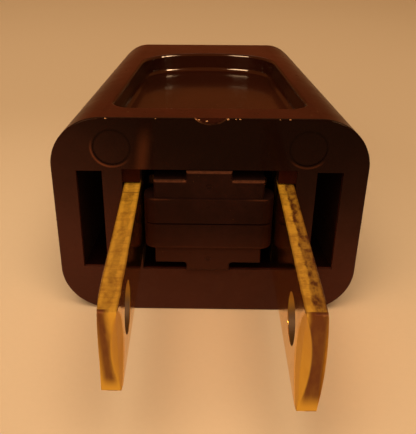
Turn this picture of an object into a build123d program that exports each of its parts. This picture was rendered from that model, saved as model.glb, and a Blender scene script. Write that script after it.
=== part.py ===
from build123d import *
import os
from math import atan2, cos, degrees, sin

os.makedirs("parts", exist_ok=True)

# Frame, in millimetres: the mating face lies in the XZ plane with its centre at the origin,
# midway between the two blades. The blades point along -Y, the housing runs back along +Y,
# and +Z is the side with the thumb recess.

# Housing, a tapered block with rounded long edges
BODY_LENGTH = 28.3
FACE_WIDTH = 25.95
FACE_HEIGHT = 18.5
FACE_CORNER = 4.3
REAR_WIDTH = 20.7
REAR_HEIGHT = 15.6
REAR_CORNER = 3.9
REAR_SIDE_ROUND = 2.7
REAR_TOP_ROUND = 0.65
FACE_EDGE_ROUND = 0.12
REAR_WALL = 4.3
CORNER_EASE = 0.004

# Thumb recess in the top of the housing
RECESS_FRONT = 2.95
RECESS_REAR_LAND = 5.05
RECESS_FRONT_SIDE_LAND = 4.53
RECESS_REAR_SIDE_LAND = 4.37
RECESS_DEPTH = 1.95
RECESS_REAR_BOW = 1.9
RECESS_FRONT_CORNER = 1.6
RECESS_REAR_CORNER = 4.2
RECESS_FLOOR_ROUND = 0.5
RECESS_RIM_ROUND = 0.3

# Window in the mating face and the straight passage behind it
WINDOW_HEIGHT = 9.68
WINDOW_LAP = 0.08
LEDGE_SETBACK = 0.35

# Relief slots that leave a springy wall beside each blade
RELIEF_WALL = 1.62
RELIEF_OUTER_WALL = 2.05
RELIEF_HEIGHT = 9.36
RELIEF_DEPTH = 12.0

# Cord inlet in the rear wall, for a flat two-core cord
INLET_WIDTH = 7.2
INLET_HEIGHT = 4.6
INLET_CORNER = 1.0
INLET_LIP = 0.4

# Marks left by the mould
EJECTOR_RADIUS = 1.5
EJECTOR_DEPTH = 0.08
EJECTOR_SPACING = 15.8
EJECTOR_RISE = 6.75
GATE_SCAR_OFFSET = 0.05
GATE_SCAR_RADIUS = 1.8
GATE_SCAR_HEIGHT = 0.5
GATE_SCAR_DEPTH = 0.2

# Blades, brass strip
BLADE_SPACING = 12.7
BLADE_THICKNESS = 1.45
BLADE_LENGTH = 16.95
BLADE_TOP = 3.36
NARROW_HEIGHT = 6.35
WIDE_HEIGHT = 7.94
BLADE_EDGE_ROUND = 0.1
HOLE_RADIUS = 1.86
HOLE_FROM_TIP = 4.7
TIP_BEVEL_INNER = 0.36
TIP_BEVEL_OUTER = 0.07
TIP_BEVEL_LENGTH = 2.4
TIP_BEVEL_RISE_INNER = 0.28
TIP_BEVEL_RISE_OUTER = 0.01
SHANK_START = 2.2
SHANK_HEIGHT = 4.8
SHANK_BEHIND_PIVOT = 1.4
PIVOT_RADIUS = 0.45
PIVOT_INSET = 0.2
PIVOT_RISE = 0.9
TOOTH_COUNT = 2
TOOTH_PITCH = 3.0
TOOTH_FROM_PIVOT = 4.8
TOOTH_BASE = 1.7
TOOTH_NECK = 1.6
TOOTH_THICKNESS = 0.9
TOOTH_TIP = 0.9

# Sliding core, split at mid height
CORE_END_ROOM = 4.4
RAIL_WIDTH = 3.74
SHOULDER_WIDTH = 9.14
SHOULDER_HEIGHT = 7.94
SHOULDER_PROUD = 0.3
SLAB_HEIGHT = 4.7
SLAB_PROUD = 0.45
SLAB_LENGTH = 2.4
SLAB_CORNER = 1.0
SEAM_GAP = 0.13
SEAM_DEPTH = 0.4
CORE_EDGE_ROUND = 0.2
RAIL_FOOT_ROUND = 0.3
FLANGE_LENGTH = 4.8
PIVOT_FROM_CORE_END = 2.8
CHANNEL_WIDTH = 5.6
CHANNEL_HEIGHT = 3.2
CHANNEL_CORNER = 0.8
CHANNEL_STOP = 5.5
CHANNEL_FLARE = 0.8
PEG_RADIUS = 0.5
PEG_HEIGHT = 1.2
FRONT_PEG_SPACING = 7.0
REAR_PEG_SPACING = 7.3
PEG_FROM_FACE = 3.0
PEG_FROM_END = 2.0
DOT_RADIUS = 0.24
DOT_DEPTH = 0.08
DOT_RISE = 3.5

# Clearances
SLIDE_CLEARANCE = 0.06
BLADE_SIDE_CLEARANCE = 0.105
BLADE_CORE_CLEARANCE = 0.175
BLADE_END_CLEARANCE = 0.15
PIVOT_CLEARANCE = 0.05
TOOTH_CLEARANCE = 0.3
PEG_CLEARANCE = 0.05
PEG_END_CLEARANCE = 0.2
FLANGE_SIDE_CLEARANCE = 0.12

# How far a cutting shape runs on past the face it cuts
OVERCUT = 1.0

# Two points closer than this count as one
SAME_PLACE = 0.001

# Places that follow from the sizes above
slope = (FACE_HEIGHT - REAR_HEIGHT) / 2 / BODY_LENGTH
blade_inner = (BLADE_SPACING - BLADE_THICKNESS) / 2
blade_outer = (BLADE_SPACING + BLADE_THICKNESS) / 2
narrow_bottom = BLADE_TOP - NARROW_HEIGHT
wide_bottom = BLADE_TOP - WIDE_HEIGHT
hole_y = HOLE_FROM_TIP - BLADE_LENGTH
column_outer = blade_outer + BLADE_SIDE_CLEARANCE
column_top = BLADE_TOP + BLADE_END_CLEARANCE
window_side = blade_inner + WINDOW_LAP
passage_end = BODY_LENGTH - REAR_WALL
core_end = passage_end - CORE_END_ROOM
pivot_x = BLADE_SPACING / 2 - PIVOT_INSET
pivot_y = core_end - PIVOT_FROM_CORE_END
rail_top = WINDOW_HEIGHT / 2 - SLIDE_CLEARANCE
slab_side = blade_inner - BLADE_CORE_CLEARANCE
flange_side = column_outer - FLANGE_SIDE_CLEARANCE
flange_top = column_top - SLIDE_CLEARANCE
flange_bottom = SHANK_HEIGHT / 2 + BLADE_END_CLEARANCE
tooth_places = [pivot_y - TOOTH_FROM_PIVOT - n * TOOTH_PITCH for n in range(TOOTH_COUNT)]


def half_width(y):
    return (FACE_WIDTH + (REAR_WIDTH - FACE_WIDTH) * y / BODY_LENGTH) / 2


def block(x0, x1, y0, y1, z0, z1):
    return Pos((x0 + x1) / 2, (y0 + y1) / 2, (z0 + z1) / 2) * Box(x1 - x0, y1 - y0, z1 - z0)


def round_bar(x, y0, y1, z, radius):
    # A cylinder along Y.
    return Pos(x, (y0 + y1) / 2, z) * Rot(90, 0, 0) * Cylinder(radius, y1 - y0)


def both_sides(solid):
    return solid + mirror(solid, Plane.YZ)


def cross_section(width, height, radius, y):
    return Plane.XZ.offset(-y) * RectangleRounded(width, height, radius)


# Housing


def tapered_block():
    # The flat sides come from two outlines, seen from above and from the side, and the long
    # rounded edges from a loft that stands a hair proud of the flat sides.
    rear = BODY_LENGTH
    plan = make_face(
        Polyline(
            (-FACE_WIDTH / 2, 0), (FACE_WIDTH / 2, 0),
            (REAR_WIDTH / 2, rear), (-REAR_WIDTH / 2, rear), close=True,
        )
    )
    plan = fillet(plan.vertices().sort_by(Axis.Y)[-2:], REAR_SIDE_ROUND)
    side = make_face(
        Polyline(
            (0, -FACE_HEIGHT / 2), (rear, -REAR_HEIGHT / 2),
            (rear, REAR_HEIGHT / 2), (0, FACE_HEIGHT / 2), close=True,
        )
    )
    side = fillet(side.vertices().sort_by(Axis.X)[-2:], REAR_TOP_ROUND)
    ease = 2 * CORNER_EASE
    rounded = loft(
        [
            cross_section(FACE_WIDTH + ease, FACE_HEIGHT + ease, FACE_CORNER, 0),
            cross_section(REAR_WIDTH + ease, REAR_HEIGHT + ease, REAR_CORNER, rear),
        ],
        ruled=True,
    )
    solid = extrude(plan, FACE_HEIGHT, both=True) & extrude(Plane.YZ * side, FACE_WIDTH, both=True)
    solid = solid & rounded
    face_edges = solid.faces().sort_by(Axis.Y)[0].edges()
    return fillet(face_edges, FACE_EDGE_ROUND)


def recess_outline():
    rear = BODY_LENGTH - RECESS_REAR_LAND
    rear_corner = rear - RECESS_REAR_BOW
    front_x = half_width(RECESS_FRONT) - RECESS_FRONT_SIDE_LAND
    rear_x = half_width(rear_corner) - RECESS_REAR_SIDE_LAND
    sides = Polyline(
        (-rear_x, rear_corner), (-front_x, RECESS_FRONT), (front_x, RECESS_FRONT), (rear_x, rear_corner)
    )
    back = ThreePointArc((rear_x, rear_corner), (0, rear), (-rear_x, rear_corner))
    outline = make_face(sides.edges() + back.edges())
    corners = outline.vertices().sort_by(Axis.Y)
    outline = fillet(corners[-2:], RECESS_REAR_CORNER)
    return fillet(outline.vertices().sort_by(Axis.Y)[:2], RECESS_FRONT_CORNER)


def thumb_recess():
    # The recess is square to the sloping top, with a rounded foot to its wall.
    top = Plane(origin=(0, 0, FACE_HEIGHT / 2), x_dir=(1, 0, 0), z_dir=(0, slope, 1))
    outline = recess_outline()
    pocket = extrude(top.offset(-RECESS_DEPTH) * outline, RECESS_DEPTH)
    floor_edges = pocket.faces().sort_by(Axis.Z)[0].edges()
    pocket = fillet(floor_edges, RECESS_FLOOR_ROUND)
    above = extrude(top * outline, RECESS_DEPTH)
    return pocket + above


def passage():
    # A tall middle for the core, and a column each side for a blade.
    half_window = WINDOW_HEIGHT / 2
    middle = block(-window_side, window_side, -OVERCUT, passage_end, -half_window, half_window)
    narrow = block(-column_outer, 0, -OVERCUT, passage_end, -column_top, column_top)
    wide = block(0, column_outer, -OVERCUT, passage_end, wide_bottom - BLADE_END_CLEARANCE, column_top)
    ledge = block(0, column_outer, -OVERCUT, LEDGE_SETBACK, 0, half_window)
    return middle + narrow + wide + both_sides(ledge)


def relief_slots():
    inner = column_outer + RELIEF_WALL
    front_x = half_width(-OVERCUT) - RELIEF_OUTER_WALL
    back_x = half_width(RELIEF_DEPTH) - RELIEF_OUTER_WALL
    outline = make_face(
        Polyline(
            (inner, -OVERCUT), (front_x, -OVERCUT), (back_x, RELIEF_DEPTH), (inner, RELIEF_DEPTH),
            close=True,
        )
    )
    return both_sides(extrude(outline, RELIEF_HEIGHT / 2, both=True))


def cord_inlet():
    start = cross_section(INLET_WIDTH, INLET_HEIGHT, INLET_CORNER, passage_end - OVERCUT)
    hole = extrude(start, -REAR_WALL - 2 * OVERCUT)
    mouth = loft(
        [
            cross_section(INLET_WIDTH, INLET_HEIGHT, INLET_CORNER, BODY_LENGTH - INLET_LIP),
            cross_section(
                INLET_WIDTH + 2 * INLET_LIP, INLET_HEIGHT + 2 * INLET_LIP,
                INLET_CORNER + INLET_LIP, BODY_LENGTH,
            ),
        ],
        ruled=True,
    )
    return hole + mouth


def mould_marks():
    ejector = round_bar(EJECTOR_SPACING / 2, -OVERCUT, EJECTOR_DEPTH, EJECTOR_RISE, EJECTOR_RADIUS)
    scar_rise = FACE_HEIGHT / 2 - GATE_SCAR_HEIGHT + GATE_SCAR_RADIUS
    scar = round_bar(GATE_SCAR_OFFSET, -OVERCUT, GATE_SCAR_DEPTH, scar_rise, GATE_SCAR_RADIUS)
    return both_sides(ejector) + scar


def make_housing():
    body = tapered_block() - thumb_recess()
    top_face = next(f for f in body.faces() if f.normal_at().Z > 0.9 and f.inner_wires())
    body = fillet(top_face.inner_wires()[0].edges(), RECESS_RIM_ROUND)
    return body - passage() - relief_slots() - cord_inlet() - mould_marks()


# Blades


def bevel_cutter(face, middle, half_height, depth, rise):
    # The strip thins towards its tip. The cutter is a wide cylinder that leans against a face
    # of the strip, so that the bevel is deepest at mid height, by the given rise.
    outward = 1 if face > BLADE_SPACING / 2 else -1
    lean = atan2(depth, TIP_BEVEL_LENGTH)
    radius = (half_height**2 + rise**2) / (2 * rise)
    x = face + outward * radius * cos(lean)
    y = TIP_BEVEL_LENGTH - BLADE_LENGTH - radius * sin(lean)
    bar = Rot(90, 0, 0) * Cylinder(radius, 4 * TIP_BEVEL_LENGTH)
    return Pos(x, y, middle) * Rot(0, 0, -outward * degrees(lean)) * bar


def tooth(y):
    # A pointed tooth that pierces the insulation of one conductor.
    root = BLADE_SPACING / 2
    neck = blade_inner - TOOTH_NECK
    outline = make_face(
        Polyline(
            (root, y - TOOTH_BASE / 2), (root, y + TOOTH_BASE / 2),
            (neck, y + TOOTH_BASE / 2), (TOOTH_TIP, y), (neck, y - TOOTH_BASE / 2), close=True,
        )
    )
    return extrude(outline, TOOTH_THICKNESS / 2, both=True)


def make_blade(bottom):
    middle = (BLADE_TOP + bottom) / 2
    prong = block(blade_inner, blade_outer, -BLADE_LENGTH, SHANK_START, bottom, BLADE_TOP)
    prong = fillet(prong.edges().filter_by(Axis.Y), BLADE_EDGE_ROUND)
    half_height = (BLADE_TOP - bottom) / 2
    prong = prong - bevel_cutter(
        blade_inner, middle, half_height, TIP_BEVEL_INNER, TIP_BEVEL_RISE_INNER
    )
    prong = prong - bevel_cutter(
        blade_outer, middle, half_height, TIP_BEVEL_OUTER, TIP_BEVEL_RISE_OUTER
    )
    hole = Rot(0, 90, 0) * Cylinder(HOLE_RADIUS, 2 * BLADE_THICKNESS)
    hole = Pos(BLADE_SPACING / 2, hole_y, middle) * hole
    shank_end = pivot_y + SHANK_BEHIND_PIVOT
    half_shank = SHANK_HEIGHT / 2
    shank = block(blade_inner, blade_outer, SHANK_START, shank_end, -half_shank, half_shank)
    pivot = Pos(pivot_x, pivot_y) * Cylinder(PIVOT_RADIUS, SHANK_HEIGHT + 2 * PIVOT_RISE)
    blade = prong - hole + shank + pivot
    for y in tooth_places:
        blade = blade + tooth(y)
    return blade


# Core


def core_blank():
    # The upper half without its pegs: a shouldered block with a guide rail along its top, a
    # wider slab between the blades, and a flange each side that holds a blade's pivot.
    side, shoulder, foot = SHOULDER_WIDTH / 2, SHOULDER_HEIGHT / 2, RAIL_WIDTH / 2
    profile = make_face(
        Polyline(
            (-side, 0), (-side, shoulder), (-foot, shoulder), (-foot, rail_top),
            (foot, rail_top), (foot, shoulder), (side, shoulder), (side, 0), close=True,
        )
    )
    at_shoulder = [v for v in profile.vertices() if abs(v.Y - shoulder) < SAME_PLACE]
    rail_feet = [v for v in at_shoulder if abs(v.X) < side - SAME_PLACE]
    profile = fillet(rail_feet, RAIL_FOOT_ROUND)
    body = extrude(Plane.XZ.offset(SHOULDER_PROUD) * profile, -core_end - SHOULDER_PROUD)
    front = body.faces().sort_by(Axis.Y)[0]
    body = fillet(front.edges().filter_by(lambda e: e.center().Z > CORE_EDGE_ROUND), CORE_EDGE_ROUND)
    slab_middle = SLAB_LENGTH / 2 - SLAB_PROUD
    slab_outline = Pos(0, slab_middle) * RectangleRounded(2 * slab_side, SLAB_LENGTH, SLAB_CORNER)
    slab = extrude(slab_outline, SLAB_HEIGHT / 2)
    flange_start = core_end - FLANGE_LENGTH
    flange = block(-flange_side, flange_side, flange_start, core_end, flange_bottom, flange_top)
    return body + slab + flange


def core_cavities():
    # The cord channel with its flared mouth, the windows for the teeth, the pivot holes, and
    # the mark and the open seam on the core's front end.
    channel = extrude(
        cross_section(CHANNEL_WIDTH, CHANNEL_HEIGHT, CHANNEL_CORNER, CHANNEL_STOP),
        -(core_end + OVERCUT - CHANNEL_STOP),
    )
    mouth = loft(
        [
            cross_section(CHANNEL_WIDTH, CHANNEL_HEIGHT, CHANNEL_CORNER, core_end - CHANNEL_FLARE),
            cross_section(
                CHANNEL_WIDTH + CHANNEL_FLARE, CHANNEL_HEIGHT + CHANNEL_FLARE, CHANNEL_CORNER, core_end
            ),
        ],
        ruled=True,
    )
    room = TOOTH_BASE / 2 + TOOTH_CLEARANCE
    window_top = TOOTH_THICKNESS / 2 + TOOTH_CLEARANCE
    first, last = tooth_places[-1] - room, tooth_places[0] + room
    window = block(0, SHOULDER_WIDTH, first, last, -window_top, window_top)
    hole = Pos(pivot_x, pivot_y) * Cylinder(PIVOT_RADIUS + PIVOT_CLEARANCE, WINDOW_HEIGHT)
    dot = round_bar(0, -OVERCUT, DOT_DEPTH - SHOULDER_PROUD, DOT_RISE, DOT_RADIUS)
    seam = block(
        -blade_inner, blade_inner, -SLAB_PROUD - OVERCUT, SEAM_DEPTH - SLAB_PROUD,
        -SEAM_GAP / 2, SEAM_GAP / 2,
    )
    return channel + mouth + both_sides(window) + both_sides(hole) + dot + seam


def pegs(radius, height):
    # Four pegs on the split line: two behind the slab and two beside the cord channel.
    rows = [(FRONT_PEG_SPACING, PEG_FROM_FACE), (REAR_PEG_SPACING, core_end - PEG_FROM_END)]
    shape = None
    for spacing, y in rows:
        peg = both_sides(Pos(spacing / 2, y, height / 2) * Cylinder(radius, height))
        shape = peg if shape is None else shape + peg
    return shape


def make_core_upper():
    sockets = pegs(PEG_RADIUS + PEG_CLEARANCE, PEG_HEIGHT + PEG_END_CLEARANCE)
    return core_blank() - core_cavities() - sockets


def make_core_lower():
    return mirror(core_blank() - core_cavities(), Plane.XY) + pegs(PEG_RADIUS, PEG_HEIGHT)


parts = {
    "housing": make_housing(),
    "core_upper": make_core_upper(),
    "core_lower": make_core_lower(),
    "narrow_blade": mirror(make_blade(narrow_bottom), Plane.YZ),
    "wide_blade": make_blade(wide_bottom),
}

for name, solid in parts.items():
    export_step(solid, f"parts/{name}.step")
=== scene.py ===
"""Looks of a quick connect lamp plug: a brown moulded housing and core, and two brass blades."""

import logging
import math
from dataclasses import dataclass, field
from enum import Enum

import bmesh
import bpy
from mathutils import Matrix, Vector, noise


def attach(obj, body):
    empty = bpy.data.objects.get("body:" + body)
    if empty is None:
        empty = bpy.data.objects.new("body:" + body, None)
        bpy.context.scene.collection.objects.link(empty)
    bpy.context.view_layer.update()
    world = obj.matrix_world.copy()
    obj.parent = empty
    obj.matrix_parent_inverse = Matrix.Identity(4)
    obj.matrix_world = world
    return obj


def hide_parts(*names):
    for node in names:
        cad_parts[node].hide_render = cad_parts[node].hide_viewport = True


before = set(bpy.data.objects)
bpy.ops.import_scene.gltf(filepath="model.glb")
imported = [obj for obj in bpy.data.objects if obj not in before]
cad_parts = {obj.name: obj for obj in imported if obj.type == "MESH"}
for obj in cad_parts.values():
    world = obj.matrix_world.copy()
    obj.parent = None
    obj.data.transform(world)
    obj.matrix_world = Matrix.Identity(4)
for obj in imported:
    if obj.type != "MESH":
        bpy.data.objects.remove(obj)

LOG = logging.getLogger("lamp_plug")
MM = 0.001
Colour = tuple[float, float, float, float]
Limits = tuple[float, float]


@dataclass(frozen=True)
class PlugSizes:
    """The sizes that more than one piece or finish follows, in millimetres.

    Attributes:
        half_width: Half of the mating face's width.
        half_height: Half of its height.
        length: The housing's length.
        side_taper: How much half_width shrinks with each millimetre along Y.
        height_taper: The same for half_height.
        blade_inner: The distance of a blade's inner face from the plug's middle.
        blade_outer: The distance of its outer face.
        blade_top: The height of its upper edge.
        blade_tip: The place of its end along Y.
    """

    half_width: float = 12.975
    half_height: float = 9.25
    length: float = 28.3
    side_taper: float = 0.092756
    height_taper: float = 0.051237
    blade_inner: float = 5.625
    blade_outer: float = 7.075
    blade_top: float = 3.36
    blade_tip: float = -16.95


SIZES = PlugSizes()


def rgb(red: int, green: int, blue: int) -> Colour:
    """Turns a screen colour into the linear colour that a shader takes.

    Args:
        red: Red, from 0 to 255.
        green: Green, from 0 to 255.
        blue: Blue, from 0 to 255.

    Returns:
        The linear colour, with full alpha.
    """
    parts = [channel / 255 for channel in (red, green, blue)]
    linear = [p / 12.92 if p <= 0.04045 else ((p + 0.055) / 1.055) ** 2.4 for p in parts]
    return (linear[0], linear[1], linear[2], 1.0)


class Signal:
    """A number, vector or colour on its way from one shader node to the next."""

    def __init__(self, graph: "Graph", socket: bpy.types.NodeSocket) -> None:
        """Keeps the socket that the value leaves by."""
        self.graph = graph
        self.socket = socket

    def _maths(self, operation: str, first: object, second: object = 0.0) -> "Signal":
        """Adds one Math node."""
        return self.graph.signal("ShaderNodeMath", {"operation": operation}, {0: first, 1: second})

    def __add__(self, other: object) -> "Signal":
        """Adds."""
        return self._maths("ADD", self, other)

    def __radd__(self, other: object) -> "Signal":
        """Adds, with the value on the right."""
        return self._maths("ADD", other, self)

    def __sub__(self, other: object) -> "Signal":
        """Subtracts."""
        return self._maths("SUBTRACT", self, other)

    def __rsub__(self, other: object) -> "Signal":
        """Subtracts this value from another."""
        return self._maths("SUBTRACT", other, self)

    def __mul__(self, other: object) -> "Signal":
        """Multiplies."""
        return self._maths("MULTIPLY", self, other)

    def __abs__(self) -> "Signal":
        """Takes the sign away."""
        return self._maths("ABSOLUTE", self)

    def ramp(self, low: object, high: object) -> "Signal":
        """Turns the value into a soft mask.

        Args:
            low: Where the mask is 0.
            high: Where the mask is 1. It may be below low, which turns the mask round.

        Returns:
            The mask, from 0 to 1.
        """
        settings = {"interpolation_type": "SMOOTHSTEP", "clamp": True}
        return self.graph.signal(
            "ShaderNodeMapRange", settings, {"Value": self, "From Min": low, "From Max": high}
        )


class Graph:
    """The node tree of one material or world, with every node made by one method."""

    def __init__(self, owner: bpy.types.Material | bpy.types.World) -> None:
        """Starts an empty node tree."""
        self.owner = owner
        self.owner.use_nodes = True
        self.tree = self.owner.node_tree
        self.tree.nodes.clear()

    def node(
        self,
        kind: str,
        settings: dict[str, object] | None = None,
        values: dict[str | int, object] | None = None,
    ) -> bpy.types.Node:
        """Makes a node.

        Args:
            kind: The node's type.
            settings: Its settings, which are set first.
            values: The values or signals of its input sockets.

        Returns:
            The node.
        """
        made = self.tree.nodes.new(kind)
        for name, setting in (settings or {}).items():
            setattr(made, name, setting)
        for socket, value in (values or {}).items():
            if isinstance(value, Signal):
                self.tree.links.new(value.socket, made.inputs[socket])
            else:
                made.inputs[socket].default_value = value
        return made

    def signal(
        self,
        kind: str,
        settings: dict[str, object] | None = None,
        values: dict[str | int, object] | None = None,
        output: int | str = 0,
    ) -> Signal:
        """Makes a node and gives one of its outputs.

        Args:
            kind: The node's type.
            settings: Its settings.
            values: The values or signals of its input sockets.
            output: The output's name or number.

        Returns:
            That output.
        """
        return Signal(self, self.node(kind, settings, values).outputs[output])

    def place(self, stretch: tuple[float, float, float] = (1, 1, 1)) -> Signal:
        """Gives the place on the piece in millimetres, stretched along each axis.

        Args:
            stretch: How much each axis is multiplied by.

        Returns:
            The vector.
        """
        where = self.signal("ShaderNodeTexCoord", output="Object")
        scale = tuple(factor / MM for factor in stretch)
        return self.signal("ShaderNodeVectorMath", {"operation": "MULTIPLY"}, {0: where, 1: scale})

    def axes(self) -> tuple[Signal, Signal, Signal]:
        """Gives the place's x, y and z in millimetres."""
        split = self.node("ShaderNodeSeparateXYZ", values={0: self.place()})
        return tuple(Signal(self, output) for output in split.outputs)

    def clouds(
        self,
        scale: float,
        detail: float = 3.0,
        rough: float = 0.5,
        stretch: tuple[float, float, float] = (1, 1, 1),
        distortion: float = 0.0,
    ) -> Signal:
        """Makes a noise pattern.

        Args:
            scale: Features per millimetre.
            detail: How many finer layers there are.
            rough: How strong the finer layers are.
            stretch: How much each axis is multiplied by.
            distortion: How much the pattern is bent.

        Returns:
            The pattern, from 0 to 1.
        """
        values = {
            "Vector": self.place(stretch),
            "Scale": scale,
            "Detail": detail,
            "Roughness": rough,
            "Distortion": distortion,
        }
        return self.signal("ShaderNodeTexNoise", {"noise_dimensions": "3D"}, values)

    def spots(self, scale: float) -> Signal:
        """Makes the distance to scattered points, for specks.

        Args:
            scale: Points per millimetre.

        Returns:
            The distance.
        """
        values = {"Vector": self.place(), "Scale": scale}
        return self.signal("ShaderNodeTexVoronoi", {"feature": "F1"}, values, "Distance")

    def blend(self, share: object, first: object, second: object) -> Signal:
        """Mixes two colours.

        Args:
            share: How much of the second there is.
            first: The first colour.
            second: The second colour.

        Returns:
            The colour.
        """
        settings = {"data_type": "RGBA", "blend_type": "MIX", "clamp_factor": True}
        return self.signal("ShaderNodeMix", settings, {0: share, 6: first, 7: second}, 2)

    def bump(self, height: Signal, depth: float, under: Signal | None = None) -> Signal:
        """Turns a height pattern into a normal.

        Args:
            height: The pattern, from 0 to 1.
            depth: How deep it is, in millimetres.
            under: A coarser normal that this one lies on.

        Returns:
            The normal.
        """
        values = {"Height": height, "Distance": depth * MM, "Strength": 1.0}
        if under is not None:
            values["Normal"] = under
        return self.signal("ShaderNodeBump", None, values)

    def finish(self, values: dict[str, object]) -> bpy.types.Material:
        """Closes the tree with a Principled shader.

        Args:
            values: The values or signals of the shader's sockets.

        Returns:
            The material.
        """
        shader = self.signal("ShaderNodeBsdfPrincipled", None, values, "BSDF")
        self.node("ShaderNodeOutputMaterial", None, {"Surface": shader})
        return self.owner


@dataclass(frozen=True)
class MouldedPlastic:
    """Dark chocolate brown moulded plastic, satin outside. Depths are in millimetres."""

    name: str = "moulded_brown"
    deep: Colour = rgb(54, 18, 7)
    warm: Colour = rgb(70, 25, 11)
    dust: Colour = rgb(168, 112, 70)
    # Painted shade for hollows that light barely reaches.
    painted_shade_inside: Colour = rgb(9, 3, 2)
    glint: Colour = rgb(255, 190, 140)
    roughness: float = 0.30
    speck_roughness: float = 0.2
    grain_depth: float = 0.008
    wave_depth: float = 0.04
    specular: float = 0.06
    plastic_ior: float = 1.46
    coat_ior: float = 1.75
    coat_roughness: float = 0.09
    sheen: float = 0.10
    sheen_roughness: float = 0.25
    speckle: float = 0.5

    def material(self) -> bpy.types.Material:
        """Builds the plastic's nodes."""
        graph = Graph(bpy.data.materials.new(self.name))
        colour, specks = self._pigment(graph)
        rough = self._matt(graph) + specks * self.speck_roughness
        return self._close(graph, colour, rough, self._normal(graph), 0.0)

    def _pigment(self, graph: Graph) -> tuple[Signal, Signal]:
        """Makes the flow-marked colour and the mask of its dust specks."""
        flow = graph.clouds(0.12, 3.0, 0.55, stretch=(1, 0.5, 1), distortion=0.6)
        mottle = graph.clouds(1.6, 4.0, 0.6)
        colour = graph.blend((flow * 0.7 + mottle * 0.3).ramp(0.35, 0.65), self.deep, self.warm)
        specks = graph.spots(1.1).ramp(0.07, 0.03) * graph.clouds(0.5, 2.0).ramp(0.5, 0.62)
        return graph.blend(specks * self.speckle, colour, self.dust), specks

    def _matt(self, graph: Graph) -> Signal:
        """Makes the uneven roughness of a satin surface."""
        return self.roughness + (graph.clouds(0.8, 4.0, 0.6) - 0.5) * 0.14

    def _normal(self, graph: Graph, strength: Signal | float = 1.0) -> Signal:
        """Makes the normal of the fine grain on the moulding's slow waves.

        Args:
            graph: The material's graph.
            strength: How much of both there is.

        Returns:
            The normal.
        """
        waves = graph.bump(graph.clouds(0.3, 2.0) * strength, self.wave_depth)
        grain = graph.clouds(5.0, 3.0, 0.6) * 0.6 + graph.clouds(1.4, 2.0) * 0.9
        return graph.bump(grain * strength, self.grain_depth, waves)

    def _close(
        self, graph: Graph, colour: Signal, rough: Signal, normal: Signal, gloss: Signal | float
    ) -> bpy.types.Material:
        """Ends the tree with the plastic's own reflection.

        Args:
            graph: The material's graph.
            colour: The base colour.
            rough: The roughness.
            normal: The normal.
            gloss: How much of the polished mould's gloss there is.

        Returns:
            The material.
        """
        return graph.finish(
            {
                "Base Color": colour,
                "Roughness": rough,
                "Normal": normal,
                "IOR": self.plastic_ior,
                "Specular IOR Level": self.specular,
                "Specular Tint": self.glint,
                "Coat Weight": gloss,
                "Coat Roughness": self.coat_roughness,
                "Coat IOR": self.coat_ior,
                "Sheen Weight": self.sheen,
                "Sheen Roughness": self.sheen_roughness,
                "Sheen Tint": self.dust,
            }
        )


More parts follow.
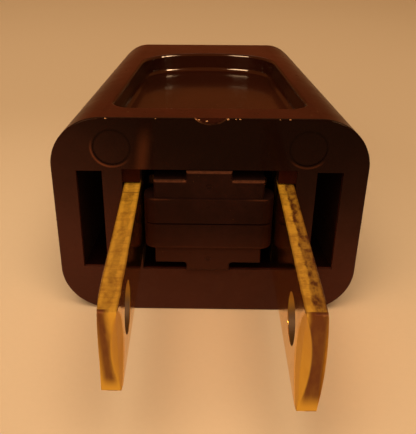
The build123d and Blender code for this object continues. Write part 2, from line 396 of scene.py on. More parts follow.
@dataclass(frozen=True)
class HousingPlastic(MouldedPlastic):
    """The housing's plastic: glossy in the recess, smooth on the face, with painted shade inside and
    in the recess and painted light and shade on the face.

    Sizes are in millimetres. A pair of limits says where a mask is 0 and where it is 1.

    Attributes:
        face: Where the mating face's own finish ends, along Y.
        recess_edge: Half of the recess's width, measured at the mating face.
        recess_taper: How much that shrinks with each millimetre along Y.
        recess_depth: How deep the recess is.
        wall_thickness: Where the inside starts under the housing's sides.
        scar_centre: The gate mark's centre, across and up.
        ejector_centre: The ejector marks' centres, across and up.
        painted_light_place: How far to the left the pale smear is.
    """

    name: str = "housing_brown"
    shaded: Colour = rgb(8, 2, 1)
    # Painted light: the mating face's lit colour, with a painted reflection of the table.
    painted_lit_face: Colour = rgb(65, 34, 23)
    # Painted light: the left blade's reflection on the face and the lit arcs by the ejector marks.
    painted_light: Colour = rgb(120, 62, 34)
    # Painted highlight for the lit arc along the gate mark's rim.
    scar_painted_highlight: Colour = rgb(168, 98, 56)
    speck_roughness: float = 0.3
    recess_roughness: float = 0.2
    face_roughness: float = 0.22
    face_gloss: float = 0.03
    floor_gloss: float = 0.26
    rear_gloss: float = 0.95
    face: Limits = (0.32, 0.16)
    recess_edge: float = 8.418
    recess_taper: float = 0.0842
    recess_depth: float = 1.95
    recess_front: Limits = (2.4, 2.7)
    recess_rear: Limits = (23.8, 23.3)
    recess_lowest: Limits = (5.2, 5.4)
    wall_thickness: Limits = (0.5, 0.9)
    slot_half_height: Limits = (5.6, 5.2)
    passage_mouth: Limits = (0.24, 0.42)
    passage_end: Limits = (24.6, 24.0)
    inlet_half_width: Limits = (4.4, 3.9)
    inlet_half_height: Limits = (3.0, 2.6)
    inlet_start: Limits = (23.8, 24.4)
    inlet_mouth: Limits = (28.2, 28.0)
    scar_centre: tuple[float, float] = (0.05, 10.55)
    scar_radius: float = 1.8
    ejector_centre: tuple[float, float] = (7.9, 6.75)
    ejector_radius: float = 1.5
    # painted_light_place: How far to the left the pale streak is, a painted reflection of the left
    # blade.
    painted_light_place: float = 6.15

    def material(self) -> bpy.types.Material:
        """Builds the plastic's nodes."""
        graph = Graph(bpy.data.materials.new(self.name))
        along = graph.axes()[1]
        face = along.ramp(*self.face)
        recess = self._recess(graph)
        colour, specks = self._pigment(graph)
        colour = self._front(graph, colour, face)
        # Painted shade in the recess, deepest towards its rear wall.
        colour = graph.blend(recess * (along.ramp(7.0, 21.0) * 0.35 + 0.35), colour, self.shaded)
        # Painted shade in the passage, the slots and the cord inlet.
        colour = graph.blend(self._inside(graph) * 0.94, colour, self.painted_shade_inside)
        rim, bowl = self._scar(graph)
        colour = graph.blend(bowl * 0.35, colour, self.warm)
        # Painted highlight: a broken lit arc along the gate mark's rim.
        colour = graph.blend(rim * 0.45, colour, self.scar_painted_highlight)
        rough = self._matt(graph) * (1 - face)
        rough = rough + (self.face_roughness + graph.clouds(0.7, 3.0) * 0.10) * face
        polished = self.recess_roughness + specks * self.speck_roughness
        rough = rough * (1 - recess) + polished * recess
        normal = self._normal(graph, 1 - recess * 0.93)
        gloss = recess * self._polish(graph) + face * self.face_gloss
        return self._close(graph, colour, rough, normal, gloss)

    def _front(self, graph: Graph, colour: Signal, face: Signal) -> Signal:
        """Paints light and shade on the mating face, which is darkest at the top, and adds its marks.

        Args:
            graph: The material's graph.
            colour: The colour so far.
            face: The mask of the mating face.

        Returns:
            The new colour.
        """
        across, _, up = graph.axes()
        wander = graph.clouds(0.22, 3.0, 0.55) * 5.0
        fade = (up * 0.9 - abs(across) * 0.35 + across * 0.25 + wander - 2.5).ramp(-11.0, 6.0)
        # Painted light over the whole face, then painted shade, darkest at the top.
        colour = graph.blend(face * 0.85, colour, self.painted_lit_face)
        colour = graph.blend(face * fade * 0.93, colour, self.shaded)
        # Painted shade on the ejector marks' rims and painted highlights on the arcs beside them.
        dark, light = self._ejectors(graph)
        colour = graph.blend(face * dark * 0.6, colour, self.shaded)
        colour = graph.blend(face * light * 0.4, colour, self.painted_light)
        # Painted reflection: a pale streak on the face above the left blade.
        painted_light = face * abs(across + self.painted_light_place - up * 0.12).ramp(0.8, 0.0)
        painted_light = painted_light * up.ramp(3.2, 5.4) * up.ramp(9.0, 6.5)
        return graph.blend(painted_light * 0.2, colour, self.painted_light)

    def _recess(self, graph: Graph) -> Signal:
        """Makes the mask of the polished recess in the housing's top."""
        across, along, up = graph.axes()
        below = (SIZES.half_height - along * SIZES.height_taper - up).ramp(0.005, 0.06)
        side = (self.recess_edge - along * self.recess_taper - abs(across)).ramp(-0.36, -0.2)
        ends = along.ramp(*self.recess_front) * along.ramp(*self.recess_rear)
        return below * side * ends * up.ramp(*self.recess_lowest)

    def _polish(self, graph: Graph) -> Signal:
        """Makes the recess's gloss, which is strongest on its rear wall."""
        _, along, up = graph.axes()
        depth = SIZES.half_height - along * SIZES.height_taper - up
        rear = along.ramp(18.0, 20.0) * depth.ramp(self.recess_depth - 0.02, self.recess_depth - 0.12)
        return rear * (self.rear_gloss - self.floor_gloss) + self.floor_gloss

    def _scar(self, graph: Graph) -> tuple[Signal, Signal]:
        """Makes the masks of the painted lit arc along the gate mark's rim and of its hollow."""
        across, along, up = graph.axes()
        right, rise = across - self.scar_centre[0], up - self.scar_centre[1]
        distance = right * right + rise * rise - self.scar_radius**2
        front = along.ramp(0.3, 0.2) * up.ramp(8.5, 8.6)
        broken = graph.clouds(1.6, 3.0, 0.6).ramp(0.36, 0.6) * 0.2 + across.ramp(-0.5, -1.1) * 0.7
        return abs(distance).ramp(0.22, 0.06) * front * broken, distance.ramp(0.1, -0.3) * front

    def _ejectors(self, graph: Graph) -> tuple[Signal, Signal]:
        """Makes the masks of the ejector marks' painted shaded rims and of the painted lit arcs
        beside them.
        """
        across, _, up = graph.axes()
        right, rise = abs(across) - self.ejector_centre[0], up - self.ejector_centre[1]
        distance = right * right + rise * rise - self.ejector_radius**2
        lit = right.ramp(-1.0, 1.2) * across.ramp(0.0, -1.0) + rise.ramp(-0.9, -1.6) * 0.5
        arc = abs(distance - 0.6).ramp(0.5, 0.0) * lit * rise.ramp(1.0, -0.6)
        return abs(distance).ramp(0.5, 0.0), arc

    def _inside(self, graph: Graph) -> Signal:
        """Makes the mask of the passage, the slots and the cord inlet, where shade is painted."""
        across, along, up = graph.axes()
        depth = SIZES.half_width - along * SIZES.side_taper - abs(across)
        hollow = depth.ramp(*self.wall_thickness) * abs(up).ramp(*self.slot_half_height)
        hollow = hollow * along.ramp(*self.passage_mouth) * along.ramp(*self.passage_end)
        inlet = abs(across).ramp(*self.inlet_half_width) * abs(up).ramp(*self.inlet_half_height)
        return hollow + inlet * along.ramp(*self.inlet_mouth) * along.ramp(*self.inlet_start)


@dataclass(frozen=True)
class CorePlastic(MouldedPlastic):
    """The core's plastic, with painted highlights along its upper front edges. Sizes are in
    millimetres.
    """

    name: str = "core_brown"
    deep: Colour = rgb(27, 12, 7)
    warm: Colour = rgb(37, 17, 11)
    # Painted light: the paler colour of the core's lower part, lit from the table below.
    lower: Colour = rgb(64, 33, 21)
    # Painted highlight for the lit bands along the core's upper edges.
    painted_edge_light: Colour = rgb(130, 70, 40)
    speckle: float = 0.12
    rail_half: float = 1.87
    rail_top: float = 4.78
    shoulder: float = 3.97
    slab_top: float = 2.35
    foot_band: float = 0.12
    edge_band: float = 0.14

    def material(self) -> bpy.types.Material:
        """Builds the plastic's nodes."""
        graph = Graph(bpy.data.materials.new(self.name))
        across, along, up = graph.axes()
        colour, specks = self._pigment(graph)
        # Painted light: paler towards the bottom, lit from the table below.
        colour = graph.blend(up.ramp(0.5, -5.0) * 0.5, colour, self.lower)
        # Painted highlights: lit bands along the top edges of the rail, the shoulders and the slab.
        rail = abs(across).ramp(self.rail_half + 0.04, self.rail_half - 0.02)
        edges = self._band(up, self.rail_top, self.edge_band) * rail
        edges = edges + self._band(up, self.shoulder, self.edge_band) * (1 - rail)
        edges = edges * along.ramp(0.05, -0.08)
        ends = abs(across).ramp(2.6, 4.4) * 0.7 + 0.05
        slab = self._band(up, self.slab_top, 0.09) * ends
        slab = slab + self._band(up, self.foot_band - self.slab_top, 0.10) * 0.15
        edges = edges + slab * along.ramp(-0.30, -0.40)
        broken = graph.clouds(3.0, 3.0, 0.6).ramp(0.25, 0.6) * 0.5 + 0.5
        colour = graph.blend(edges * broken * 0.3, colour, self.painted_edge_light)
        rough = self._matt(graph) + specks * self.speck_roughness
        return self._close(graph, colour, rough, self._normal(graph), 0.0)

    def _band(self, up: Signal, top: float, height: float) -> Signal:
        """Makes the mask of a band across the core's front.

        Args:
            up: The height of the place on the core.
            top: Where the band ends.
            height: How tall it is.

        Returns:
            The mask, from 0 to 1.
        """
        return up.ramp(top - height - 0.05, top - height + 0.05) * up.ramp(top + 0.05, top + 0.02)


class Side(Enum):
    """Which side of the plug a blade is on."""

    NARROW = "narrow_blade"
    WIDE = "wide_blade"


@dataclass(frozen=True)
class BladeForm:
    """What differs between the two blades, in millimetres.

    Attributes:
        bottom: The height of its lower edge.
        coin: How far the inner bevel reaches across the end at mid height.
        swell: How far the end's outer face bulges at mid height.
        crown: How far it leans out at the top.
        band: Where the torn band starts and ends across the plug.
        band_strength: How dark the torn band is, from 0 to 1.
        streak: The end's brown streak, a painted dark reflection: its places at the top and at the
            foot, from the inner face, and its half width.
    """

    bottom: float
    coin: float
    swell: float
    crown: float
    band: tuple[float, float]
    band_strength: float
    streak: tuple[float, float, float]


FORMS = {
    Side.NARROW: BladeForm(
        bottom=-2.99,
        coin=0.60,
        swell=-0.04,
        crown=-0.13,
        band=(6.05, 6.65),
        band_strength=0.42,
        streak=(1.1, 0.72, 0.32),
    ),
    Side.WIDE: BladeForm(
        bottom=-4.58,
        coin=0.72,
        swell=0.24,
        crown=0.0,
        band=(6.25, 7.5),
        band_strength=0.98,
        streak=(0.85, 0.98, 0.6),
    ),
}


@dataclass(frozen=True)
class StampedBrass:
    """Brass strip with bright rolled faces and torn, tarnished sheared edges."""

    name: str
    form: BladeForm
    bright: Colour = rgb(244, 196, 84)
    stained: Colour = rgb(190, 126, 42)
    torn: Colour = rgb(82, 31, 6)
    amber: Colour = rgb(146, 90, 18)
    rough_gold: Colour = rgb(208, 152, 38)
    # Painted light for the sheared edges near the housing.
    painted_light_gold: Colour = rgb(255, 184, 52)
    # Painted reflection: the dark brown of the flat end beside the bevel.
    end_painted_reflection: Colour = rgb(104, 52, 8)
    # Dark brass for the scratch and the hole's darker lower half, and painted shade on the shank
    # inside the housing.
    oxide_and_painted_shade: Colour = rgb(60, 34, 16)
    roughness: float = 0.13
    inner: float = SIZES.blade_inner
    outer: float = SIZES.blade_outer
    top: float = SIZES.blade_top
    tip: float = SIZES.blade_tip
    hole: float = -12.25
    hole_radius: float = 1.86
    scratch: float = -1.2

    def material(self) -> bpy.types.Material:
        """Builds the brass's nodes."""
        graph = Graph(bpy.data.materials.new(self.name))
        across, along, up = graph.axes()
        across = abs(across)
        upper = up.ramp(self.top - 0.10, self.top - 0.04)
        lower = up.ramp(self.form.bottom + 0.10, self.form.bottom + 0.04)
        sheared = (upper + lower).ramp(0.0, 0.6)
        end = along.ramp(self.tip + 0.35, self.tip + 0.25) * self._flat_end(across, up)
        torn = sheared * self._torn(graph, across)
        cut = across.ramp(self.inner + 0.02, self.inner + 0.07)
        cut = cut * across.ramp(self.outer - 0.02, self.outer - 0.07)
        wall, foot = self._hole(along, up)
        open_side = across.ramp(self.outer - 0.06, self.outer - 0.02)
        # Painted shade on the shank inside the housing, less on its outer face.
        painted_shade_inside = along.ramp(0.3, 1.4) * (0.9 - open_side * 0.45)
        stain = graph.clouds(0.35, 4.0, 0.6, distortion=0.8).ramp(0.42, 0.72)
        colour = graph.blend(stain * 0.35, self.bright, self.stained)
        colour = graph.blend(cut * 0.85, colour, self.rough_gold)
        # Painted light: the sheared edges brighter near the housing, where its face would shade and
        # darken them.
        colour = graph.blend(sheared * along.ramp(-10.0, -2.0) * 0.9, colour, self.painted_light_gold)
        colour = graph.blend(sheared * self._uneven(graph), colour, self.amber)
        colour = graph.blend(self._rims(across, up) * 0.4, colour, self.torn)
        # Painted dark reflection on the flat end beside the bevel, in brown streaks.
        colour = graph.blend(end * self._streak(graph, across, up), colour, self.end_painted_reflection)
        colour = graph.blend(cut * wall * 0.6, colour, self.amber)
        colour = graph.blend(cut * wall * foot * 0.9, colour, self.oxide_and_painted_shade)
        colour = graph.blend(torn, colour, self.torn)
        line = abs(along - self.scratch).ramp(0.09, 0.03) * upper
        colour = graph.blend(line * 0.5, colour, self.oxide_and_painted_shade)
        # Painted shade inside the housing.
        colour = graph.blend(painted_shade_inside, colour, self.oxide_and_painted_shade)
        rolled = graph.clouds(1.0, 5.0, 0.6, stretch=(6.0, 0.25, 6.0))
        rough = self.roughness + (rolled - 0.5) * 0.06 + stain * 0.07 + painted_shade_inside * 0.3
        rough = rough + cut * 0.36 + torn * 0.10
        coarse = torn * graph.clouds(2.6, 5.0, 0.7)
        coarse = coarse + graph.clouds(6.0, 3.0) * 0.3 * (sheared + end)
        normal = graph.bump(coarse, 0.035, graph.bump(rolled, 0.004))
        metal = 1 - cut * (wall * 0.3 + 0.5)
        return graph.finish(
            {"Base Color": colour, "Roughness": rough, "Normal": normal, "Metallic": metal}
        )

    def _uneven(self, graph: Graph) -> Signal:
        """Makes the mask of the darker patches and ribs of a sheared edge."""
        mottle = graph.clouds(0.95, 4.0, 0.65, stretch=(1.0, 0.6, 1.0)).ramp(0.46, 0.62)
        ribs = graph.clouds(1.0, 4.0, 0.6, stretch=(0.7, 5.0, 1.0)).ramp(0.48, 0.66)
        return mottle * 0.44 + ribs * 0.24

    def _rims(self, across: Signal, up: Signal) -> Signal:
        """Makes the mask of the two dark borders along the upper edge.

        Args:
            across: The distance from the plug's middle.
            up: The height.

        Returns:
            The mask, from 0 to 1.
        """
        rims = across.ramp(self.inner + 0.2, self.inner + 0.08)
        rims = rims + across.ramp(self.outer - 0.2, self.outer - 0.08)
        return rims * up.ramp(self.top - 0.2, self.top - 0.1)

    def _flat_end(self, across: Signal, up: Signal) -> Signal:
        """Makes the mask of the end beside its hollow inner bevel.

        Args:
            across: The distance from the plug's middle.
            up: The height.

        Returns:
            The mask, from 0 to 1.
        """
        level = (up - self.form.bottom) * (2 / (self.top - self.form.bottom)) - 1
        return (across - self.inner - (1 - level * level) * self.form.coin).ramp(-0.05, 0.05)

    def _streak(self, graph: Graph, across: Signal, up: Signal) -> Signal:
        """Makes the mask of the brown streak down the blade's end, a painted dark reflection.

        Args:
            graph: The material's graph.
            across: The distance from the plug's middle.
            up: The height.

        Returns:
            The mask, from 0 to 1.
        """
        start, end, half = self.form.streak
        rise = (up - self.form.bottom) * (1 / (self.top - self.form.bottom))
        centre = rise * (start - end) + (self.inner + end)
        cloud = graph.clouds(1.1, 4.0, 0.6, stretch=(1.6, 1.0, 0.6))
        beside = abs(across - centre + (cloud - 0.5) * 0.3)
        return beside.ramp(half + 0.34, half - 0.24) * rise.ramp(0.02, 0.2) * (cloud * 0.4 + 0.76)

    def _hole(self, along: Signal, up: Signal) -> tuple[Signal, Signal]:
        """Makes the masks of the hole's wall and of its dark lower half.

        Args:
            along: The distance from the mating face.
            up: The height.

        Returns:
            The two masks, from 0 to 1.
        """
        behind = along - self.hole
        rise = up - (self.top + self.form.bottom) / 2
        limit = self.hole_radius**2
        wall = (behind * behind + rise * rise).ramp(limit + 0.8, limit + 0.3)
        return wall, rise.ramp(0.4, -1.1)

    def _torn(self, graph: Graph, across: Signal) -> Signal:
        """Makes the mask of the torn band along a sheared edge.

        Args:
            graph: The material's graph.
            across: The distance from the plug's middle, in millimetres.

        Returns:
            The mask, from 0 to 1.
        """
        start, end = self.form.band
        place = across + (graph.clouds(0.5, 4.0, 0.65) - 0.5) * 0.7
        band = place.ramp(start - 0.08, start + 0.10) * place.ramp(end + 0.14, end - 0.10)
        pits = graph.clouds(1.5, 4.0, 0.6, stretch=(1.3, 0.7, 1)).ramp(0.40, 0.66)
        return band * (0.5 + pits * 0.5) * self.form.band_strength


@dataclass(frozen=True)
class PaleTable:
    """A plain pale table top with a painted pool of light, palest to the front left of the plug."""

    name: str = "pale_table"
    pale: Colour = rgb(232, 196, 152)
    shade: Colour = rgb(184, 149, 106)
    brightest: tuple[float, float] = (-18.0, -14.0)
    roughness: float = 0.75
    specular: float = 0.15

    def material(self) -> bpy.types.Material:
        """Builds the table's nodes."""
        graph = Graph(bpy.data.materials.new(self.name))
        across, along, _ = graph.axes()
        right, ahead = across - self.brightest[0], along - self.brightest[1]
        away = right * right + ahead * ahead
        # Painted pool of light: palest round the brightest point, shaded farther away.
        far = away.ramp(0.0, 4200.0) * 0.5 + away.ramp(3000.0, 30000.0) * 0.5
        far = far + (graph.clouds(0.02, 2.0) - 0.5) * 0.06
        colour = graph.blend(far, self.pale, self.shade)
        colour = graph.blend(graph.clouds(2.0, 4.0, 0.7) * 0.10, colour, self.shade)
        return graph.finish(
            {
                "Base Color": colour,
                "Roughness": self.roughness,
                "Normal": graph.bump(graph.clouds(1.2, 3.0), 0.01),
                "Specular IOR Level": self.specular,
            }
        )


def dress(node: bpy.types.Object, material: bpy.types.Material) -> None:
    """Gives a CAD node one material in place of its own.

    Args:
        node: The CAD node.
        material: The material.
    """
    node.data.materials.clear()
    node.data.materials.append(material)


def finished(
    mesh: bmesh.types.BMesh, name: str, material: bpy.types.Material, sharp: float = 0.6
) -> bpy.types.Object:
    """Turns a bmesh in metres into an object at the origin.

    Args:
        mesh: The bmesh, which is freed.
        name: The object's name.
        material: Its material.
        sharp: The angle from which an edge stays sharp, in radians.

    Returns:
        The object, linked to the scene.
    """
    bmesh.ops.recalc_face_normals(mesh, faces=mesh.faces)
    data = bpy.data.meshes.new(name)
    mesh.to_mesh(data)
    mesh.free()
    data.materials.append(material)
    data.shade_smooth()
    data.set_sharp_from_angle(angle=sharp)
    piece = bpy.data.objects.new(name, data)
    bpy.context.scene.collection.objects.link(piece)
    return piece


@dataclass
class Housing:
    """The tapered outer shell with its thumb recess, in millimetres.

    Attributes:
        finish: The shell's plastic.
        corner: The radius of the rear's two upright edges.
        line_start: Where the mould line starts behind the mating face.
        line_end: Where it ends beside the cord inlet.
        line_radius: The radius of the line.
        line_proud: How far it stands out.
        top_edge: The place along Y and the height of the front's top edge.
        burrs: Each crumb of flash: its place across, its radius and its height from that edge.
        burr_shape: How much a crumb is stretched along each axis.
    """

    finish: HousingPlastic = field(default_factory=HousingPlastic)
    corner: float = 2.7
    line_start: float = 0.16
    line_end: float = 4.2
    line_radius: float = 0.11
    line_proud: float = 0.045
    top_edge: tuple[float, float] = (0.05, 9.19)
    burrs: tuple[tuple[float, float, float], ...] = (
        (-8.24, 0.055, 0.0),
        (-4.29, 0.040, 0.0),
        (-1.12, 0.050, -0.02),
        (-0.88, 0.055, -0.05),
        (-0.26, 0.065, -0.16),
        (1.39, 0.075, 0.0),
        (2.00, 0.050, 0.0),
        (2.32, 0.060, 0.0),
        (5.46, 0.040, 0.0),
        (6.24, 0.055, 0.0),
    )
    burr_shape: tuple[float, float, float] = (1.5, 0.8, 0.75)

    def build(self) -> None:
        """Dresses the shell and adds its mould lines and its flash."""
        dress(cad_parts["housing"], self.finish.material())
        plain = MouldedPlastic("mould_line_brown").material()
        for name, sign in (("mould_line_left", -1), ("mould_line_right", 1)):
            self._keep(finished(self._mould_line(sign), name, plain))
        # The crumbs' pale colour is partly the thin flash's own and partly a painted highlight.
        thin = MouldedPlastic("flash_brown", rgb(176, 116, 70), rgb(216, 156, 102), specular=0.6)
        self._keep(finished(self._flash(), "edge_flash", thin.material(), math.pi))
        LOG.info("housing dressed")

    def _keep(self, piece: bpy.types.Object) -> None:
        """Fixes a piece to the housing."""
        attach(piece, "housing")

    def _mould_line(self, sign: int) -> bmesh.types.BMesh:
        """Makes the thin raised line where the two halves of the mould met.

        Args:
            sign: -1 for the left side and 1 for the right.

        Returns:
            The line, from the front edge round to the cord inlet.
        """
        taper = SIZES.side_taper
        lean = math.atan(taper)
        out = Vector((math.cos(lean), math.sin(lean), 0))
        start = Vector((SIZES.half_width - taper * self.line_start, self.line_start, 0))
        centre_y = SIZES.length - self.corner
        side_x = SIZES.half_width - taper * centre_y
        centre = Vector((side_x - self.corner / math.cos(lean), centre_y, 0))
        bend = centre + out * self.corner
        mesh = bmesh.new()
        ring = bmesh.ops.create_circle(mesh, segments=10, radius=self.line_radius)["verts"]
        bmesh.ops.rotate(mesh, verts=ring, matrix=Matrix.Rotation(math.pi / 2, 3, "X"))
        bmesh.ops.rotate(mesh, verts=ring, matrix=Matrix.Rotation(lean, 3, "Z"))
        sunk = self.line_radius - self.line_proud
        bmesh.ops.translate(mesh, verts=ring, vec=start - out * sunk)
        edges = self._run(mesh, mesh.edges[:], bend - start)
        turned = bmesh.ops.spin(
            mesh, geom=edges, cent=centre, axis=(0, 0, 1), angle=math.pi / 2 - lean, steps=14
        )["geom_last"]
        edges = [item for item in turned if isinstance(item, bmesh.types.BMEdge)]
        self._run(mesh, edges, Vector((self.line_end - centre.x, 0, 0)))
        bmesh.ops.scale(mesh, verts=mesh.verts, vec=(sign * MM, MM, MM))
        return mesh

    def _run(
        self, mesh: bmesh.types.BMesh, edges: list[bmesh.types.BMEdge], along: Vector
    ) -> list[bmesh.types.BMEdge]:
        """Extrudes an open ring of edges.

        Args:
            mesh: The bmesh.
            edges: The ring.
            along: How far and which way it goes.

        Returns:
            The new ring.
        """
        made = bmesh.ops.extrude_edge_only(mesh, edges=edges)["geom"]
        verts = [item for item in made if isinstance(item, bmesh.types.BMVert)]
        bmesh.ops.translate(mesh, verts=verts, vec=along)
        ring = set(verts)
        return [e for e in made if isinstance(e, bmesh.types.BMEdge) and set(e.verts) <= ring]

    def _flash(self) -> bmesh.types.BMesh:
        """Makes the crumbs of flash along the front top edge and round the gate mark."""
        mesh = bmesh.new()
        along, level = self.top_edge
        for place, radius, rise in self.burrs:
            spot = Vector((place, along, level + rise))
            crumb = bmesh.ops.create_icosphere(mesh, subdivisions=3, radius=radius)["verts"]
            for vert in crumb:
                rough = noise.noise(vert.co / radius * 1.7 + spot * 9.0)
                vert.co *= 1.0 + 0.45 * rough
            bmesh.ops.scale(mesh, verts=crumb, vec=self.burr_shape)
            bmesh.ops.translate(mesh, verts=crumb, vec=spot)
        bmesh.ops.scale(mesh, verts=mesh.verts, vec=(MM, MM, MM))
        return mesh


@dataclass
class Core:
    """The two halves of the sliding core."""

    finish: CorePlastic = field(default_factory=CorePlastic)

    def build(self) -> None:
        """Dresses both halves."""
        material = self.finish.material()
        for name in ("core_upper", "core_lower"):
            dress(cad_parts[name], material)
            LOG.info("%s dressed", name)


@dataclass
class Blade:
    """One brass blade, cut finely enough for its sheared edges to be uneven, in millimetres.

    Attributes:
        side: Which blade it is.
        inner: The distance of its inner face from the plug's middle.
        outer: The distance of its outer face.
        top: The height of its upper edge.
        tip: The place of its end along Y.
        root: How far behind the mating face the fine cuts go.
        step: The distance between the cuts along the blade.
        wear: How deep the dents of a sheared edge are.
        nose: The radius of the end's top edge.
        pressed: The length of the end that was pressed.
        skin: How near to a sheared edge a vertex is dented.
    """

    side: Side
    inner: float = SIZES.blade_inner
    outer: float = SIZES.blade_outer
    top: float = SIZES.blade_top
    tip: float = SIZES.blade_tip
    root: float = 2.0
    step: float = 0.22
    wear: float = 0.045
    nose: float = 0.24
    pressed: float = 4.0
    skin: float = 0.03

    @property
    def form(self) -> BladeForm:
        """The blade's own sizes."""
        return FORMS[self.side]

    @property
    def sign(self) -> int:
        """-1 for the blade on -X and 1 for the one on +X."""
        return -1 if self.side is Side.NARROW else 1

    def build(self) -> None:
        """Makes the detailed blade in place of the CAD node."""
        name = self.side.value
        finish = StampedBrass(f"{name}_brass", self.form)
        piece = finished(self._worn(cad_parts[name]), f"{name}_worn", finish.material())
        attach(piece, name)
        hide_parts(name)
        LOG.info("%s made", name)

    def _worn(self, node: bpy.types.Object) -> bmesh.types.BMesh:
        """Copies a node, cuts it into a fine grid and roughens its sheared edges.

        Args:
            node: The blade's CAD node.

        Returns:
            The worn blade, in metres.
        """
        mesh = bmesh.new()
        mesh.from_mesh(node.data)
        bmesh.ops.remove_doubles(mesh, verts=mesh.verts, dist=0.002 * MM)
        bmesh.ops.scale(mesh, verts=mesh.verts, vec=(1 / MM, 1 / MM, 1 / MM))
        cuts = [((0, y, 0), (0, 1, 0)) for y in self._steps(self.tip, self.root)]
        across = self._steps(self.inner, self.outer, 0.5)
        cuts += [((self.sign * x, 0, 0), (1, 0, 0)) for x in across]
        cuts += [((0, 0, z), (0, 0, 1)) for z in self._steps(self.form.bottom, self.top, 1.4)]
        for place, facing in cuts:
            geometry = mesh.verts[:] + mesh.edges[:] + mesh.faces[:]
            bmesh.ops.bisect_plane(mesh, geom=geometry, plane_co=place, plane_no=facing, dist=1e-5)
        for vert in mesh.verts:
            vert.co = self._coined(vert.co + self._dent(vert.co))
        bmesh.ops.scale(mesh, verts=mesh.verts, vec=(MM, MM, MM))
        return mesh

    def _steps(self, low: float, high: float, coarser: float = 1.0) -> list[float]:
        """Gives the evenly spaced places of the cuts between two sides.

        Args:
            low: The first side.
            high: The second side.
            coarser: How many times the usual step lies between two cuts.

        Returns:
            The places, without the sides.
        """
        count = max(1, round((high - low) / (self.step * coarser)))
        return [low + (high - low) * index / count for index in range(1, count)]

    def _dent(self, place: Vector) -> Vector:
        """Gives how far one vertex of a sheared edge moves.

        Args:
            place: Where the vertex is.

        Returns:
            The move, into the metal.
        """
        move = Vector()
        if place.y > -0.3:
            return move
        dent = self.wear * (0.5 + 0.5 * noise.fractal(place * 1.9, 0.8, 2.1, 4))
        if place.z > self.top - self.skin:
            move.z -= dent
        if place.z < self.form.bottom + self.skin:
            move.z += dent
        if place.y < self.tip + self.skin:
            move.y += dent * 0.3
        return move

    def _coined(self, place: Vector) -> Vector:
        """Presses the blade's end into its rounder shape.

        Args:
            place: Where a vertex is.

        Returns:
            Where it goes.
        """
        near = max(0.0, 1 - (place.y - self.tip) / self.pressed)
        if near == 0.0:
            return place
        moved = place.copy()
        depth = place.x * self.sign - self.inner
        half = (self.top - self.form.bottom) / 2
        level = (place.z - self.form.bottom) / half - 1
        round_off = max(0.0, 1 - level * level)
        shift = self.form.swell * round_off + self.form.crown * max(0.0, level) ** 2
        moved.x += self.sign * shift * near**2 * depth / (self.outer - self.inner)
        moved.y = max(moved.y, self.tip + (self.form.coin * round_off - depth) * 2.0)
        arm = Vector((0, self.tip + self.nose - moved.y, moved.z - self.top + self.nose))
        if arm.y > 0 and arm.z > 0 and arm.length > self.nose:
            arm = arm.normalized() * self.nose
            moved.y = self.tip + self.nose - arm.y
            moved.z = self.top - self.nose + arm.z
        return moved


class Rays(Enum):
    """Which kind of surface a lamp lights."""

    MATT = "matt"
    GLOSSY = "glossy"
    BOTH = "both"


@dataclass(frozen=True)
class Lamp:
    """A square soft lamp that shines on the plug.

    Attributes:
        name: The lamp's name.
        direction: Where it is, seen from the plug.
        far: How far away it is, in metres.
        size: Its side, in metres.
        power: Its power, in watts.
        rays: Which kind of surface it lights.
        aim: The point that it shines on, in metres.
        pale: The colour of a lamp for matt surfaces.
        amber: The colour of the others.
    """

    name: str
    direction: tuple[float, float, float]
    far: float
    size: float
    power: float
    rays: Rays
    aim: tuple[float, float, float] = (0, 0.012, 0)
    pale: tuple[float, float, float] = (1.0, 0.90, 0.76)
    amber: tuple[float, float, float] = (1.0, 0.66, 0.36)

    def build(self) -> None:
        """Makes the lamp."""
        data = bpy.data.lights.new(self.name, "AREA")
        data.shape = "SQUARE"
        data.size = self.size
        data.energy = self.power
        data.color = self.pale if self.rays is Rays.MATT else self.amber
        lamp = bpy.data.objects.new(self.name, data)
        lamp.visible_glossy = self.rays is not Rays.MATT
        lamp.visible_diffuse = self.rays is not Rays.GLOSSY
        bpy.context.scene.collection.objects.link(lamp)
        away = Vector(self.direction).normalized()
        lamp.location = away * self.far + Vector(self.aim)
        lamp.rotation_euler = away.to_track_quat("Z", "Y").to_euler()


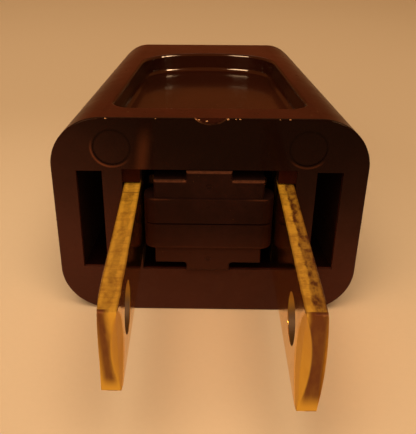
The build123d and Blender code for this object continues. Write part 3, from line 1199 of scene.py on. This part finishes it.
@dataclass
class Studio:
    """The floor, the lamps, the world and the camera.

    Attributes:
        floor_level: The table's height under the mating face, in millimetres.
        floor_radius: The table's radius, in metres.
        focal_px: The camera's focal length, in pixels of the photograph.
        centre_px: The camera's axis, in pixels from the photograph's left side.
        frame_px: The photograph's width and height, in pixels.
        eye_mm: The camera's place.
        pitch: How far it looks down, in degrees.
        yaw: How far it looks to the right, in degrees.
        roll: How far it leans, in degrees.
        clip: The nearest and the farthest that it sees, in metres.
        room: The light that the room gives to matt surfaces.
        reflected: The room's colour in a reflection.
        backdrop: The room's colour behind the table.
        room_strength: How strong the room's light is.
        mirror_gain: How much stronger it is in a reflection.
        lamps: The lamps.
    """

    floor_level: float = -9.27
    floor_radius: float = 0.5
    focal_px: float = 653.3
    centre_px: float = 189.8
    frame_px: tuple[int, int] = (416, 434)
    eye_mm: tuple[float, float, float] = (-0.806, -48.202, 27.48)
    pitch: float = 29.279
    yaw: float = -0.923
    roll: float = 0.16
    clip: tuple[float, float] = (0.001, 20.0)
    room: Colour = rgb(200, 146, 98)
    reflected: Colour = rgb(206, 112, 52)
    backdrop: Colour = rgb(206, 158, 110)
    room_strength: float = 0.2
    mirror_gain: float = 0.22
    lamps: tuple[Lamp, ...] = (
        Lamp("lamp_above", (-0.20, -1.1, 1.0), far=0.90, size=1.3, power=8.9, rays=Rays.MATT),
        Lamp("soft_right", (0.25, -0.43, 1.0), far=0.5, size=0.20, power=0.42, rays=Rays.MATT),
        Lamp("soft_left", (-0.27, -0.43, 1.0), far=0.5, size=0.20, power=0.55, rays=Rays.MATT),
        Lamp("glint_right", (0.59, -0.565, 0.62), far=0.5, size=0.15, power=2.2, rays=Rays.GLOSSY),
        Lamp("glint_left", (-0.48, -0.64, 0.62), far=0.5, size=0.19, power=1.7, rays=Rays.GLOSSY),
        Lamp("lamp_behind", (0.0, 0.64, 0.77), far=0.6, size=0.34, power=0.32, rays=Rays.BOTH),
    )

    def build(self) -> None:
        """Makes all of it."""
        self._floor()
        for lamp in self.lamps:
            lamp.build()
        self._world()
        self._camera()
        bpy.context.scene.view_settings.view_transform = "Standard"

    def _floor(self) -> None:
        """Makes the round table top, which lies along the housing's sloping lower face."""
        mesh = bmesh.new()
        bmesh.ops.create_circle(mesh, cap_ends=True, segments=96, radius=self.floor_radius)
        slope = Matrix.Rotation(math.atan(SIZES.height_taper), 3, "X")
        bmesh.ops.rotate(mesh, verts=mesh.verts, matrix=slope)
        bmesh.ops.translate(mesh, verts=mesh.verts, vec=(0, 0, self.floor_level * MM))
        finished(mesh, "table", PaleTable().material())

    def _world(self) -> None:
        """Makes the soft light from all round and the plain backdrop behind the table."""
        world = bpy.data.worlds.new("soft_room")
        graph = Graph(world)
        rays = graph.node("ShaderNodeLightPath")
        seen = Signal(graph, rays.outputs["Is Camera Ray"])
        mirrored = Signal(graph, rays.outputs["Is Glossy Ray"])
        colour = graph.blend(seen, graph.blend(mirrored, self.room, self.reflected), self.backdrop)
        strength = mirrored * self.mirror_gain + seen * (1 - self.room_strength) + self.room_strength
        light = graph.signal("ShaderNodeBackground", None, {"Color": colour, "Strength": strength})
        graph.node("ShaderNodeOutputWorld", None, {"Surface": light})
        bpy.context.scene.world = world

    def _camera(self) -> None:
        """Makes the camera at the photograph's place."""
        pitch, yaw, roll = (math.radians(a) for a in (self.pitch, self.yaw, self.roll))
        forward = Vector(
            (math.sin(yaw) * math.cos(pitch), math.cos(yaw) * math.cos(pitch), -math.sin(pitch))
        )
        right = Vector((math.cos(yaw), -math.sin(yaw), 0))
        up = right.cross(forward)
        across = right * math.cos(roll) + up * math.sin(roll)
        upright = up * math.cos(roll) - right * math.sin(roll)
        data = bpy.data.cameras.new("camera")
        data.lens = self.focal_px / max(self.frame_px) * data.sensor_width
        data.shift_x = (self.frame_px[0] / 2 - self.centre_px) / max(self.frame_px)
        data.clip_start, data.clip_end = self.clip
        camera = bpy.data.objects.new("camera", data)
        bpy.context.scene.collection.objects.link(camera)
        turn = Matrix((across, upright, -forward)).transposed().to_4x4()
        camera.matrix_world = Matrix.Translation(Vector(self.eye_mm) * MM) @ turn
        bpy.context.scene.camera = camera


def main() -> None:
    """Builds the object's looks and the studio around it."""
    logging.basicConfig(level=logging.INFO, format="%(name)s: %(message)s")
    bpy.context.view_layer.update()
    for part in (Studio(), Housing(), Core(), Blade(Side.NARROW), Blade(Side.WIDE)):
        part.build()


if __name__ == "__main__":
    main()
